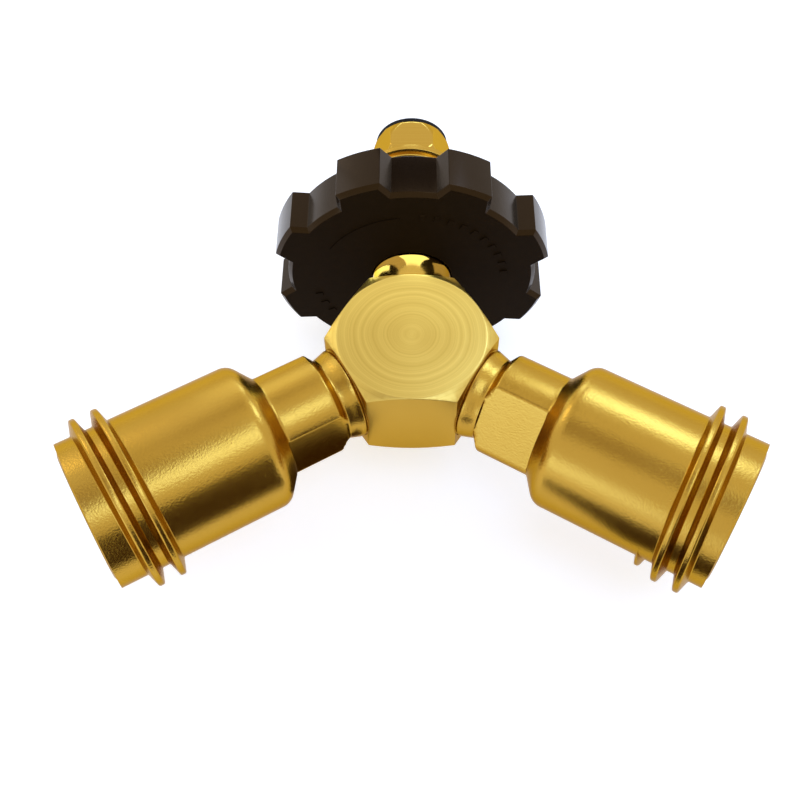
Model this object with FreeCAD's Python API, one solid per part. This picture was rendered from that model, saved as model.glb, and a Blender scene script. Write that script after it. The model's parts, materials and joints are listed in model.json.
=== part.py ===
import FreeCAD, Part
import math
import os
from FreeCAD import Vector

# Propane Y splitter: one screw-in inlet with a handwheel, two coarse-threaded cylinder-style
# outlets, all carried by a hexagonal block. Lengths are millimetres, angles are degrees.
# Frame: +Z up, origin at the centre of the block's base face, +Y along the inlet.

# Fits shared by all the pieces
running_clearance = 0.08
loose_clearance = 0.30
face_gap = 0.05
end_clearance = 0.20

# Spring wire is drawn as a bar with this many sides and the round wire's area
wire_sides = 4
wire_area_share = 2 * math.pi / wire_sides / math.sin(2 * math.pi / wire_sides)

# Hexagonal block, a length of 1 1/8 inch brass bar lying on its base
block_flats = 28.575
block_height = 18.0
block_face_radius = 14.1
block_chamfer_angle = 27.0
port_radius = 6.65
port_wall = 5.8
gas_way_radius = 3.4
inlet_heading = 90.0
left_heading = 210.0
right_heading = 330.0

# Outlet fitting, turned in one piece from the tail in the block to the open mouth
tail_end_gap = 0.10
foot_radius = 8.9
foot_height = 0.3
stub_radius = 8.1
stub_length = 3.6
stub_fillet = 0.8
neck_radius = 9.95
neck_step = 1.4
neck_length = 10.5
neck_edge = 0.7
neck_wrench_flats = 15.0
shoulder_length = 4.0
shoulder_foot_fillet = 0.9
shoulder_round = 1.8
body_length = 32.8
mouth_chamfer = 0.5
outlet_bore_radius = 11.24
outlet_wall = 2.76
outlet_bore_depth = 14.75
thread_relief = 0.36
bore_lead_in = 0.7
chamber_ledge = 2.35
chamber_length = 15.0
chamber_floor_ledge = 0.9
chamber_floor_cone = 2.6

# Coarse external thread of the outlets, drawn as plain rings at the thread's pitch
ridge_height = 2.67
ridge_pitch = 5.08
ridge_count = 2
ridge_crest_width = 1.0
ridge_front_flank = 14.5
ridge_back_flank = 38.0
ridge_mouth_distance = 5.6

# Direction of the first wrench flat about each outlet's own axis
flat_directions = {"outlet_left": 88.0, "outlet_right": 57.5}

# Check valve inside each outlet
seat_flange_gap = 0.39
seat_front_gap = 0.50
seat_flange_thickness = 1.6
seat_body_length = 3.5
seat_hole_radius = 4.6
seat_rim_width = 2.85
seat_cone_depth = 3.0
spanner_slot_width = 2.0
spanner_slot_depth = 0.9
seat_ring_cord = 1.5
seat_ring_groove = 1.8
check_seal_thickness = 1.2
check_seal_margin = 0.4
check_travel = 3.0
check_head_gap = 1.7
check_head_thickness = 2.0
check_tip_radius = 2.6
check_tip_length = 5.6
check_tip_chamfer = 0.7
check_stem_radius = 1.9
guide_thickness = 1.8
guide_hole_count = 4
guide_hole_radius = 1.6
guide_hole_rim = 1.9
check_spring_inset = 2.6
check_spring_wire = 0.7
check_spring_turns = 3.5

# Inlet tailpiece: tail, collar and the shank that carries the nut
collar_radius = 7.85
collar_length = 8.0
shank_radius = 5.5
shank_thread_length = 3.6
shank_bore_radius = 2.6
spring_pocket_radius = 3.5
spring_pocket_depth = 2.0
tailpiece_chamfer = 0.4

# Nut with the inlet's external left-hand thread
nut_travel = 3.0
nut_head_flats = 22.225
nut_head_height = 5.05
nut_thread_radius = 11.18
nut_barrel_length = 17.6
nut_front_chamfer = 1.1
nut_head_chamfer = 0.5

# Thrust washer between the nut and the nose
washer_thickness = 0.6
washer_radius = 8.6

# Bullet nose with its wrench flats, gas hole and rolled lip
nose_flats = 14.9
nose_first_corner = 30.0
nose_corner_radius = 8.6
nose_length = 8.35
nose_straight = 1.6
nose_rim_radius = 7.75
nose_rim_chamfer = 0.3
nose_bulge = 0.28
flow_chamber_radius = 4.6
nose_end_wall = 1.0
nose_gas_radius = 2.2
spigot_radius = 4.0
spigot_lip_radius = 4.6
spigot_lip_length = 0.8

# Rubber nose seal
seal_radius = 7.8
seal_length = 2.2
seal_straight = 1.0
seal_tip_radius = 5.0
seal_edge_round = 0.4

# Excess-flow poppet inside the nose
flow_travel = 1.8
flow_head_thickness = 1.5
flow_head_flats = 3
flow_flat_distance = 3.95
flow_bleed_radius = 0.4
flow_slot_width = 1.2
flow_slot_depth = 0.5
flow_spring_radius = 2.95
flow_spring_wire = 0.45
flow_spring_turns = 3.5

# Handwheel
wheel_lobes = 8
wheel_radius = 27.9
wheel_notch_radius = 25.0
wheel_web = 5.2
wheel_notch_opening = 26.7
wheel_notch_floor = 19.6
wheel_clocking = 1.0
wheel_near_edge = 0.8
wheel_far_edge = 0.5
wheel_pocket_inner = 16.2
wheel_pocket_outer = 22.4
wheel_pocket_depth = 4.0
wheel_rib_width = 2.0

# Radii of an outlet and its check valve that follow from the mouth bore
body_radius = outlet_bore_radius + outlet_wall
ridge_crest_radius = body_radius + ridge_height
seat_flange_radius = outlet_bore_radius - seat_flange_gap
relief_radius = outlet_bore_radius + thread_relief
seat_cone_radius = seat_flange_radius - seat_rim_width
chamber_radius = seat_flange_radius - chamber_ledge
chamber_floor_radius = chamber_radius - chamber_floor_ledge
check_head_radius = chamber_radius - check_head_gap
check_seal_hole_radius = seat_hole_radius + check_seal_margin
check_spring_radius = check_head_radius - check_spring_inset
guide_hole_circle = chamber_radius - guide_hole_rim - guide_hole_radius

# Stations along each port's own axis, counted from the block's centre
flat_station = block_flats / 2
tail_station = port_wall + tail_end_gap
stub_end = flat_station + stub_length
neck_start = stub_end + neck_step
neck_end = neck_start + neck_length
body_start = neck_end + shoulder_length
mouth = body_start + body_length
bore_floor = mouth - outlet_bore_depth
seat_ledge = bore_floor - seat_flange_thickness - seat_front_gap
chamber_floor = seat_ledge - chamber_length
seat_back = seat_ledge - seat_body_length
check_seal_back = seat_back - check_seal_thickness
check_head_front = check_seal_back - face_gap
check_head_back = check_head_front - check_head_thickness
guide_front = chamber_floor + guide_thickness
collar_end = flat_station + collar_length
nut_back = collar_end + nut_travel + end_clearance
nut_head_end = nut_back + nut_head_height
nut_front = nut_head_end + nut_barrel_length
washer_back = nut_front + face_gap
washer_front = washer_back + washer_thickness
nose_back = washer_front + face_gap
shank_end = nose_back + shank_thread_length
nose_rim = nose_back + nose_length
flow_chamber_end = nose_rim - nose_end_wall
flow_head_front = shank_end + flow_travel + loose_clearance + flow_head_thickness
seal_end = nose_rim + seal_length
wheel_near = nut_back - wheel_web
wheel_far = nut_head_end

axis_z = Vector(0, 0, 1)
origin = Vector(0, 0, 0)


def station(along, radius=0.0, angle=0.0):
    """Point at a distance along a piece's own axis and out from it."""
    turn = math.radians(angle)
    return Vector(radius * math.cos(turn), radius * math.sin(turn), along)


def eased_corner(before, here, after, rounding):
    """Points that ease a corner with two chords of its rounding."""
    back = (before - here).normalize()
    ahead = (after - here).normalize()
    half_inner = back.getAngle(ahead) / 2
    if rounding <= 0.0 or half_inner > math.radians(89.9):
        return [here]
    tangent = rounding / math.tan(half_inner)
    inward = (back + ahead).normalize()
    middle = here + inward * (rounding / math.sin(half_inner) - rounding)
    return [here + back * tangent, middle, here + ahead * tangent]


def turned(corners):
    """Solid of revolution from its half outline of (along, radius, rounding) corners."""
    corner_points = [station(along, radius) for along, radius, rounding in corners]
    points = []
    for index, (along, radius, rounding) in enumerate(corners):
        following = corner_points[(index + 1) % len(corners)]
        points += eased_corner(corner_points[index - 1], corner_points[index], following, rounding)
    outline = [point for point, last in zip(points, points[-1:] + points) if (point - last).Length > 1e-6]
    return Part.Face(Part.makePolygon(outline + outline[:1])).revolve(origin, axis_z, 360)


def rod(start, end, radius):
    """Plain cylinder between two stations."""
    return Part.makeCylinder(radius, end - start, station(start), axis_z)


def hexagon_bar(start, end, flats, corner_angle=0.0):
    """Hexagonal bar between two stations, with one corner at the given angle."""
    corner_radius = flats / 2 / math.cos(math.radians(30))
    corners = [station(start, corner_radius, corner_angle + 60 * k) for k in range(6)]
    face = Part.Face(Part.makePolygon(corners + corners[:1]))
    return face.extrude(axis_z * (end - start))


def around(shape, count, first_angle=0.0):
    """Copies of a shape spaced evenly about the axis."""
    return [shape.rotated(origin, axis_z, first_angle + 360.0 * k / count) for k in range(count)]


def flat_cutter(start, end, distance, reach, angle):
    """Block that mills one flat at a distance from the axis."""
    cutter = Part.makeBox(reach, 2 * reach, end - start, Vector(distance, -reach, start))
    return cutter.rotated(origin, axis_z, angle)


def wound(corners, pitch, turns):
    """Solid that winds a closed run of corners up a right-hand helix about the axis."""
    path = Part.makeLongHelix(pitch, pitch * turns, corners[0].x)
    section = Part.makePolygon(corners + corners[:1])
    return Part.Wire(path.Edges).makePipeShell([section], True, True)


def coil(start, end, coil_radius, wire, turns):
    """Compression spring between two stations, its wire a many-sided bar of the same area."""
    corner = wire / 2 * math.sqrt(wire_area_share)
    corners = []
    for k in range(wire_sides):
        turn = 2 * math.pi * (k + 0.5) / wire_sides
        corners.append(station(corner * math.sin(turn), coil_radius + corner * math.cos(turn)))
    rise = end - start - 2 * corner * math.cos(math.pi / wire_sides)
    spring = wound(corners, rise / turns, turns)
    return spring.translated(station(start + corner * math.cos(math.pi / wire_sides)))


def place(shape, heading):
    """Lay a piece's own axis along a port of the block."""
    lying = shape.rotated(origin, Vector(0, 1, 0), 90)
    turned_out = lying.rotated(origin, axis_z, heading)
    return turned_out.translated(Vector(0, 0, block_height / 2))


def hex_block():
    """Hexagonal body with chamfered faces and three threaded ports that meet in the middle."""
    corner_radius = block_flats / 2 / math.cos(math.radians(30)) + 1.0
    drop = (corner_radius - block_face_radius) * math.tan(math.radians(block_chamfer_angle))
    envelope = turned([
        (0.0, 0.0, 0), (0.0, block_face_radius, 0), (drop, corner_radius, 0),
        (block_height - drop, corner_radius, 0), (block_height, block_face_radius, 0),
        (block_height, 0.0, 0)])
    block = hexagon_bar(0.0, block_height, block_flats).common(envelope)
    port = rod(port_wall, block_flats, port_radius).fuse(rod(0.0, block_flats, gas_way_radius))
    for heading in (inlet_heading, left_heading, right_heading):
        block = block.cut(place(port, heading))
    return block


def thread_rings():
    """Corners of the thread's rings, steep towards the mouth and sloped towards the block."""
    half_crest = ridge_crest_width / 2
    front = half_crest + ridge_height * math.tan(math.radians(ridge_front_flank))
    back = half_crest + ridge_height * math.tan(math.radians(ridge_back_flank))
    corners = []
    for k in reversed(range(ridge_count)):
        middle = mouth - ridge_mouth_distance - ridge_pitch * k
        corners += [
            (middle - back, body_radius, 0), (middle - half_crest, ridge_crest_radius, 0),
            (middle + half_crest, ridge_crest_radius, 0), (middle + front, body_radius, 0)]
    return corners


def outlet_blank():
    """Outside of an outlet: tail, foot, stub, neck, shoulder and body with the thread's rings."""
    return turned([
        (tail_station, 0.0, 0), (tail_station, port_radius, 0),
        (flat_station, port_radius, 0), (flat_station, foot_radius, 0),
        (flat_station + foot_height, foot_radius, 0),
        (flat_station + foot_height, stub_radius, stub_fillet),
        (stub_end, stub_radius, stub_fillet), (neck_start, neck_radius, neck_edge),
        (neck_end, neck_radius, shoulder_foot_fillet), (body_start, body_radius, shoulder_round)
    ] + thread_rings() + [
        (mouth - mouth_chamfer, body_radius, 0), (mouth, body_radius - mouth_chamfer, 0),
        (mouth, 0.0, 0)])


def outlet_hollow():
    """Inside of an outlet: gas way, coned chamber floor, chamber, thread relief and mouth bore."""
    return turned([
        (0.0, 0.0, 0), (0.0, gas_way_radius, 0),
        (chamber_floor - chamber_floor_cone, gas_way_radius, 0),
        (chamber_floor, chamber_floor_radius, 0), (chamber_floor, chamber_radius, 0),
        (seat_ledge, chamber_radius, 0), (seat_ledge, relief_radius, 0),
        (bore_floor, relief_radius, 0), (bore_floor, outlet_bore_radius, 0),
        (mouth - bore_lead_in, outlet_bore_radius, 0),
        (mouth + face_gap, outlet_bore_radius + bore_lead_in + face_gap, 0),
        (mouth + face_gap, 0.0, 0)])


def outlet_fitting(flat_angle):
    """Cylinder-valve style outlet with two wrench flats on its neck."""
    blank = outlet_blank()
    for angle in (flat_angle, flat_angle + 180):
        cutter = flat_cutter(stub_end, neck_end, neck_wrench_flats / 2, neck_radius, angle)
        blank = blank.cut(cutter)
    return blank.cut(outlet_hollow())


def check_seat():
    """Screwed brass seat with a cone for the mating nose and two spanner slots."""
    flange_front = seat_ledge + seat_flange_thickness
    groove_middle = (seat_ledge + seat_back) / 2
    groove_depth = seat_ring_cord - running_clearance
    blank = turned([
        (seat_back, seat_hole_radius, 0), (seat_back, chamber_radius, 0),
        (groove_middle - seat_ring_groove / 2, chamber_radius, 0),
        (groove_middle - seat_ring_groove / 2, chamber_radius - groove_depth, 0),
        (groove_middle + seat_ring_groove / 2, chamber_radius - groove_depth, 0),
        (groove_middle + seat_ring_groove / 2, chamber_radius, 0),
        (seat_ledge, chamber_radius, 0), (seat_ledge, seat_flange_radius, 0),
        (flange_front, seat_flange_radius, 0), (flange_front, seat_cone_radius, 0),
        (flange_front - seat_cone_depth, seat_hole_radius, 0)])
    slot = Part.makeBox(4 * seat_flange_radius, spanner_slot_width, 2 * spanner_slot_depth)
    slot.translate(Vector(-2 * seat_flange_radius, -spanner_slot_width / 2,
                          flange_front - spanner_slot_depth))
    return blank.cut(slot)


def seat_o_ring():
    """O-ring squeezed flat between the groove's floor and the chamber wall, with sloped sides."""
    squeezed = seat_ring_cord - running_clearance
    middle = (seat_ledge + seat_back) / 2
    inner = chamber_radius - squeezed
    half_flat = seat_ring_groove / 2 - squeezed / 4
    belly = chamber_radius - squeezed / 2
    return turned([
        (middle - half_flat, inner, 0), (middle - seat_ring_groove / 2, belly, 0),
        (middle - half_flat, chamber_radius, 0), (middle + half_flat, chamber_radius, 0),
        (middle + seat_ring_groove / 2, belly, 0), (middle + half_flat, inner, 0)])


def check_seal():
    """Rubber ring that the closed poppet presses on, bonded to the back of the seat."""
    ring = rod(check_seal_back, seat_back, chamber_radius - loose_clearance)
    return ring.cut(rod(check_seal_back, seat_back, check_seal_hole_radius))


def check_poppet():
    """Poppet with a blunt tip that the mating nose pushes and a stem in the guide."""
    tip_end = check_head_front + check_tip_length
    stem_end = chamber_floor - face_gap
    return turned([
        (stem_end, 0.0, 0), (stem_end, check_stem_radius, 0),
        (check_head_back, check_stem_radius, 0), (check_head_back, check_head_radius, 0),
        (check_head_front, check_head_radius, 0), (check_head_front, check_tip_radius, 0),
        (tip_end - check_tip_chamfer, check_tip_radius, 0),
        (tip_end, check_tip_radius - check_tip_chamfer, 0), (tip_end, 0.0, 0)])


def poppet_guide():
    """Spider that guides the stem and carries the spring, with a ring of gas holes."""
    disc = rod(chamber_floor, guide_front, chamber_radius)
    disc = disc.cut(rod(chamber_floor, guide_front, check_stem_radius + running_clearance))
    hole = rod(chamber_floor, guide_front, guide_hole_radius)
    hole.translate(station(0.0, guide_hole_circle))
    for gas_hole in around(hole, guide_hole_count, 45.0):
        disc = disc.cut(gas_hole)
    return disc


def check_spring():
    """Spring that closes the check poppet."""
    return coil(guide_front + face_gap, check_head_back - face_gap, check_spring_radius,
                check_spring_wire, check_spring_turns)


def tailpiece():
    """Inlet tailpiece: the wheel's nut slides on its shank and stops on its collar."""
    pocket = shank_end - spring_pocket_depth
    return turned([
        (tail_station, gas_way_radius, 0), (tail_station, port_radius, 0),
        (flat_station, port_radius, 0), (flat_station, collar_radius, 0),
        (collar_end - tailpiece_chamfer, collar_radius, 0),
        (collar_end, collar_radius - tailpiece_chamfer, 0), (collar_end, shank_radius, 0),
        (shank_end, shank_radius, 0), (shank_end, spring_pocket_radius, 0),
        (pocket, spring_pocket_radius, 0), (pocket, shank_bore_radius, 0),
        (tail_station + gas_way_radius, shank_bore_radius, 0)])


def pol_nut():
    """Nut with a hexagonal head in the wheel and the barrel of the inlet thread."""
    corner_radius = nut_head_flats / 2 / math.cos(math.radians(30))
    head_envelope = turned([
        (nut_back, 0.0, 0), (nut_back, corner_radius - nut_head_chamfer, 0),
        (nut_back + nut_head_chamfer, corner_radius, 0), (nut_head_end, corner_radius, 0),
        (nut_head_end, 0.0, 0)])
    head = hexagon_bar(nut_back, nut_head_end, nut_head_flats).common(head_envelope)
    barrel = turned([
        (nut_head_end, 0.0, 0), (nut_head_end, nut_thread_radius, 0),
        (nut_front - nut_front_chamfer, nut_thread_radius, 0),
        (nut_front, nut_thread_radius - nut_front_chamfer, 0), (nut_front, 0.0, 0)])
    bore = rod(nut_back, nut_front, shank_radius + running_clearance)
    return head.fuse(barrel).cut(bore).removeSplitter()


def thrust_washer():
    """Washer that the nut pushes against the nose when the wheel is tightened."""
    ring = rod(washer_back, washer_front, washer_radius)
    return ring.cut(rod(washer_back, washer_front, shank_radius + running_clearance))


def nose_fitting():
    """Bullet nose: six wrench flats running out on a curved taper, then a lipped spigot."""
    bar = hexagon_bar(nose_back, nose_rim, nose_flats, nose_first_corner)
    straight_end = nose_back + nose_straight
    taper_end = nose_rim - nose_rim_chamfer
    middle = station((straight_end + taper_end) / 2,
                     (nose_corner_radius + nose_rim_radius) / 2 + nose_bulge)
    start = station(straight_end, nose_corner_radius)
    end = station(taper_end, nose_rim_radius)
    corners = [end, station(nose_rim, nose_rim_radius - nose_rim_chamfer), station(nose_rim),
               station(nose_back), station(nose_back, nose_corner_radius), start]
    edges = [Part.Arc(start, middle, end).toShape()]
    edges += [Part.LineSegment(a, b).toShape() for a, b in zip(corners, corners[1:])]
    envelope = Part.Face(Part.Wire(edges)).revolve(origin, axis_z, 360)
    spigot = rod(nose_rim, seal_end, spigot_radius)
    lip = rod(seal_end, seal_end + spigot_lip_length, spigot_lip_radius)
    hollow = turned([
        (nose_back, 0.0, 0), (nose_back, shank_radius, 0), (shank_end, shank_radius, 0),
        (shank_end, flow_chamber_radius, 0), (flow_chamber_end, flow_chamber_radius, 0),
        (flow_chamber_end, nose_gas_radius, 0), (seal_end + spigot_lip_length, nose_gas_radius, 0),
        (seal_end + spigot_lip_length, 0.0, 0)])
    return bar.common(envelope).fuse([spigot, lip]).cut(hollow).removeSplitter()


def nose_seal():
    """Black rubber nose that seals in the cone of the cylinder valve."""
    return turned([
        (nose_rim, spigot_radius, 0), (nose_rim, seal_radius, 0),
        (nose_rim + seal_straight, seal_radius, seal_edge_round),
        (seal_end, seal_tip_radius, 0), (seal_end, spigot_radius, 0)])


def flow_poppet():
    """Excess-flow poppet: gas passes its three flats until a surge pushes it onto the shank."""
    head_back = flow_head_front - flow_head_thickness
    head = rod(head_back, flow_head_front, flow_chamber_radius - running_clearance)
    for k in range(flow_head_flats):
        angle = 360.0 * k / flow_head_flats
        head = head.cut(flat_cutter(head_back, flow_head_front, flow_flat_distance,
                                    flow_chamber_radius, angle))
    slot = Part.makeBox(4 * flow_chamber_radius, flow_slot_width, 2 * flow_slot_depth)
    slot.translate(Vector(-2 * flow_chamber_radius, -flow_slot_width / 2,
                          flow_head_front - flow_slot_depth))
    return head.cut(slot).cut(rod(head_back, flow_head_front, flow_bleed_radius))


def flow_spring():
    """Spring that holds the excess-flow poppet open."""
    pocket = shank_end - spring_pocket_depth
    return coil(pocket + face_gap, flow_head_front - flow_head_thickness - face_gap,
                flow_spring_radius, flow_spring_wire, flow_spring_turns)


def wheel_outline(near):
    """Face of the wheel's outline: eight lobes with straight-sided grip notches between them."""
    half_lobe = (360.0 / wheel_lobes - wheel_notch_opening) / 2
    edges = []
    for lobe in range(wheel_lobes):
        middle = wheel_clocking + 360.0 * (lobe + 0.5) / wheel_lobes
        floor_middle = middle + 180.0 / wheel_lobes
        lobe_start = station(near, wheel_radius, middle - half_lobe)
        lobe_end = station(near, wheel_radius, middle + half_lobe)
        floor_start = station(near, wheel_notch_radius, floor_middle - wheel_notch_floor / 2)
        floor_end = station(near, wheel_notch_radius, floor_middle + wheel_notch_floor / 2)
        next_lobe = station(near, wheel_radius, middle + 360.0 / wheel_lobes - half_lobe)
        edges.append(Part.Arc(lobe_start, station(near, wheel_radius, middle), lobe_end).toShape())
        edges.append(Part.LineSegment(lobe_end, floor_start).toShape())
        edges.append(Part.Arc(floor_start, station(near, wheel_notch_radius, floor_middle),
                              floor_end).toShape())
        edges.append(Part.LineSegment(floor_end, next_lobe).toShape())
    return Part.Face(Part.Wire(edges))


def outline_edges(shape, level):
    """Edges of a shape that lie in one plane across the axis, outside the wheel's hub."""
    found = []
    for edge in shape.Edges:
        box = edge.BoundBox
        flat_in_plane = abs(box.ZMin - level) < 1e-4 and abs(box.ZMax - level) < 1e-4
        if flat_in_plane and edge.CenterOfMass.Length > wheel_pocket_outer:
            found.append(edge)
    return found


def handwheel():
    """Moulded handwheel with a round hub hole, a pocket for the nut and a cored back."""
    wheel = wheel_outline(wheel_near).extrude(axis_z * (wheel_far - wheel_near))
    wheel = wheel.makeChamfer(wheel_near_edge, outline_edges(wheel, wheel_near))
    wheel = wheel.makeChamfer(wheel_far_edge, outline_edges(wheel, wheel_far))
    wheel = wheel.cut(rod(wheel_near, wheel_far, collar_radius + loose_clearance))
    wheel = wheel.cut(hexagon_bar(nut_back - face_gap, wheel_far, nut_head_flats + 2 * face_gap))
    pocket_floor = wheel_far - wheel_pocket_depth
    ring = rod(pocket_floor, wheel_far, wheel_pocket_outer)
    ring = ring.cut(rod(pocket_floor, wheel_far, wheel_pocket_inner))
    rib = Part.makeBox(wheel_radius, wheel_rib_width, wheel_pocket_depth,
                       Vector(0, -wheel_rib_width / 2, pocket_floor))
    for spoke in around(rib, wheel_lobes, wheel_clocking):
        ring = ring.cut(spoke)
    return wheel.cut(ring)


def outlet_pieces(name, side, heading):
    """All the pieces of one outlet, laid along their port."""
    pieces = {
        name: outlet_fitting(flat_directions[name]),
        "check_seat_" + side: check_seat(),
        "seat_o_ring_" + side: seat_o_ring(),
        "check_seal_" + side: check_seal(),
        "check_poppet_" + side: check_poppet(),
        "check_spring_" + side: check_spring(),
        "poppet_guide_" + side: poppet_guide()}
    return {node: place(shape, heading) for node, shape in pieces.items()}


def inlet_pieces():
    """All the pieces on the inlet's axis."""
    pieces = {
        "tailpiece": tailpiece(), "pol_nut": pol_nut(), "handwheel": handwheel(),
        "thrust_washer": thrust_washer(), "nose_fitting": nose_fitting(),
        "nose_seal": nose_seal(), "flow_poppet": flow_poppet(), "flow_spring": flow_spring()}
    return {node: place(shape, inlet_heading) for node, shape in pieces.items()}


def main():
    """Write every piece of the splitter to its own file."""
    os.makedirs("parts", exist_ok=True)
    pieces = {"hex_block": hex_block()}
    pieces.update(outlet_pieces("outlet_left", "left", left_heading))
    pieces.update(outlet_pieces("outlet_right", "right", right_heading))
    pieces.update(inlet_pieces())
    for node, shape in pieces.items():
        shape.exportStep("parts/" + node + ".step")
        print(node, "solids", len(shape.Solids), "valid", shape.isValid(), "volume", round(shape.Volume, 2))


main()
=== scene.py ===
# %% [markdown]
# # Propane Y splitter, the visual model
# A hexagonal brass block carries three fittings: an inlet with a moulded handwheel and a bullet
# nose, and two outlets with a coarse outside thread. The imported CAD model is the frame. Each
# finished piece is laid over its CAD piece, takes that piece's place in the picture and rides on
# the same body, so the joints still move it.

# %% Load the frame
import json
import math
import bmesh
import bpy
import numpy as np
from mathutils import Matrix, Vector


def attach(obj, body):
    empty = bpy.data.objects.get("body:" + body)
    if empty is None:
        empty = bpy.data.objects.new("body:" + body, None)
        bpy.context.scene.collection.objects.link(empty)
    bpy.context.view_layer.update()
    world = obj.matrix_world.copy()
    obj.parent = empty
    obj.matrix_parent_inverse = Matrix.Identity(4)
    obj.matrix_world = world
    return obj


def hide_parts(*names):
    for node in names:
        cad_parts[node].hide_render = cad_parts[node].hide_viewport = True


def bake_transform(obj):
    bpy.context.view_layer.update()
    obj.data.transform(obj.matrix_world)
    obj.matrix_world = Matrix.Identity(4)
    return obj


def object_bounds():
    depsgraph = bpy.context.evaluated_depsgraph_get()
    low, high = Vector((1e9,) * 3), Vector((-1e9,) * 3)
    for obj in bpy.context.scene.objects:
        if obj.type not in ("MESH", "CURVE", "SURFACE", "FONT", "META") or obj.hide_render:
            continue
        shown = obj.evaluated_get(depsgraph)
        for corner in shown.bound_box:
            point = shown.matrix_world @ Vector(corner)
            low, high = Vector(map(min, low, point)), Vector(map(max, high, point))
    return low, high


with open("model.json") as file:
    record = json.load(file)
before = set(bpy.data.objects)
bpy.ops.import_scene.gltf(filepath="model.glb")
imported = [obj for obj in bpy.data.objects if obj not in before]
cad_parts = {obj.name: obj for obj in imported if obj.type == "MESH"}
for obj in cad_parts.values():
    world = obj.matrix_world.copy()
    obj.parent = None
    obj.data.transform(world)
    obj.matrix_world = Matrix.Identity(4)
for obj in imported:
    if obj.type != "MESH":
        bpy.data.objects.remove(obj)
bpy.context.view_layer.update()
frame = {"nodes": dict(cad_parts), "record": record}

print("pieces in the frame:", len(frame["nodes"]))

# %% [markdown]
# ## Units and places
# Lengths are millimetres, as on a workshop drawing, and are turned into metres only when a mesh
# is made. A station is a distance along a port's own axis from the centre of the block. A
# heading is the compass of a port: 0 along X and 90 along Y. All three ports have the same tail,
# which fills the block's hole from its inner end to the block's flat.

# %% Units and places
MM = 0.001
mid_height = 9.0
inlet_heading, left_heading, right_heading = 90.0, 210.0, 330.0
sides = (("left", left_heading), ("right", right_heading))

flat_station, tail_station = 14.2875, 5.9
port_radius, gas_way_radius = 6.65, 3.4
fine_pitch = 25.4 / 14
print("the block is", 2 * flat_station, "mm across its flats")

# %% [markdown]
# ## Laying a piece along its port
# Every fitting is drawn about its own axis, as it would stand on a lathe, and is then laid along
# the port that it screws into. Its place goes into the mesh, so the object stays at the origin.

# %% Laying a piece
def lay(points, heading):
    """Points about a piece's own axis, in mm, laid along a port of the block, in metres."""
    across, side, along = np.asarray(points, float).T
    c, s = math.cos(math.radians(heading)), math.sin(math.radians(heading))
    return np.stack([along * c - side * s, along * s + side * c, mid_height - across], -1) * MM


print("10 mm out on the left port is at", lay([(0, 0, 10)], left_heading)[0])

# %% [markdown]
# ## Outlines with true roundings
# No lathe tool or polishing belt leaves a sharp edge, and a rounded edge is what catches the
# light. An outline is a closed list of corners, each with a station, a radius and a rounding. A
# rounding becomes an arc between the two straight runs that it touches, and takes at most half
# of the shorter one. Long runs are cut up, so that a later rule has points to move.

# %% Outlines
def rounded(corners, longest=1.2, arc_step=0.2):
    """Closed outline with an arc at every corner, its straight runs cut into short steps."""
    straight = math.radians(89.5)
    points = []
    for index, (along, radius, rounding) in enumerate(corners):
        here = np.array((along, radius))
        back = np.array(corners[index - 1][:2]) - here
        ahead = np.array(corners[(index + 1) % len(corners)][:2]) - here
        shortest = min(np.linalg.norm(back), np.linalg.norm(ahead))
        back, ahead = back / np.linalg.norm(back), ahead / np.linalg.norm(ahead)
        half = math.acos(max(-1.0, min(1.0, float(back @ ahead)))) / 2
        if rounding <= 0 or half > straight:
            points.append(here)
            continue
        tangent = min(rounding / math.tan(half), 0.49 * shortest)
        rounding = tangent * math.tan(half)
        centre = here + (back + ahead) / np.linalg.norm(back + ahead) * rounding / math.sin(half)
        start = here + back * tangent - centre
        turn = math.pi - 2 * half
        if start[0] * ahead[1] - start[1] * ahead[0] < 0:
            turn = -turn
        for step in np.linspace(0.0, turn, max(3, math.ceil(abs(turn) / arc_step)) + 1):
            c, s = math.cos(step), math.sin(step)
            turned_point = np.array((c * start[0] - s * start[1], s * start[0] + c * start[1]))
            points.append(centre + turned_point)
    outline = []
    for here, following in zip(points, points[1:] + points[:1]):
        length = np.linalg.norm(following - here)
        if length > 1e-6:
            count = max(1, math.ceil(length / longest))
            outline += [here + (following - here) * k / count for k in range(count)]
    return np.array(outline)


print("points on a rounded square:", len(rounded([(0, 0, 1), (9, 0, 1), (9, 9, 1), (0, 9, 1)])))

# %% [markdown]
# ## Closed meshes
# A mesh made from a list has faces that may point either way, so its normals are recalculated.
# Shading is smooth, except over edges that are steeper than an angle.

# %% Closed meshes
sharp_edge = 38.0


def mesh_object(name, verts, faces):
    """Object with a closed mesh whose faces all point outwards."""
    mesh = bpy.data.meshes.new(name)
    mesh.from_pydata([tuple(v) for v in verts], [], faces)
    bm = bmesh.new()
    bm.from_mesh(mesh)
    bmesh.ops.recalc_face_normals(bm, faces=bm.faces)
    bm.to_mesh(mesh)
    bm.free()
    obj = bpy.data.objects.new(name, mesh)
    bpy.context.scene.collection.objects.link(obj)
    return obj


def shade(obj):
    """Smooth shading that keeps edges steeper than an angle."""
    obj.data.shade_smooth()
    obj.data.set_sharp_from_angle(angle=math.radians(sharp_edge))
    return obj


print("edges steeper than", sharp_edge, "degrees stay sharp")

# %% [markdown]
# ## Turning on a lathe
# A turned piece is its closed outline carried once round the axis. Working out every point one
# by one, instead of with a Screw modifier, lets a rule change the radius at any station and angle,
# and that is how flats are milled on a round neck without a boolean cut.

# %% Turning
worn_edge = 0.18


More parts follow.
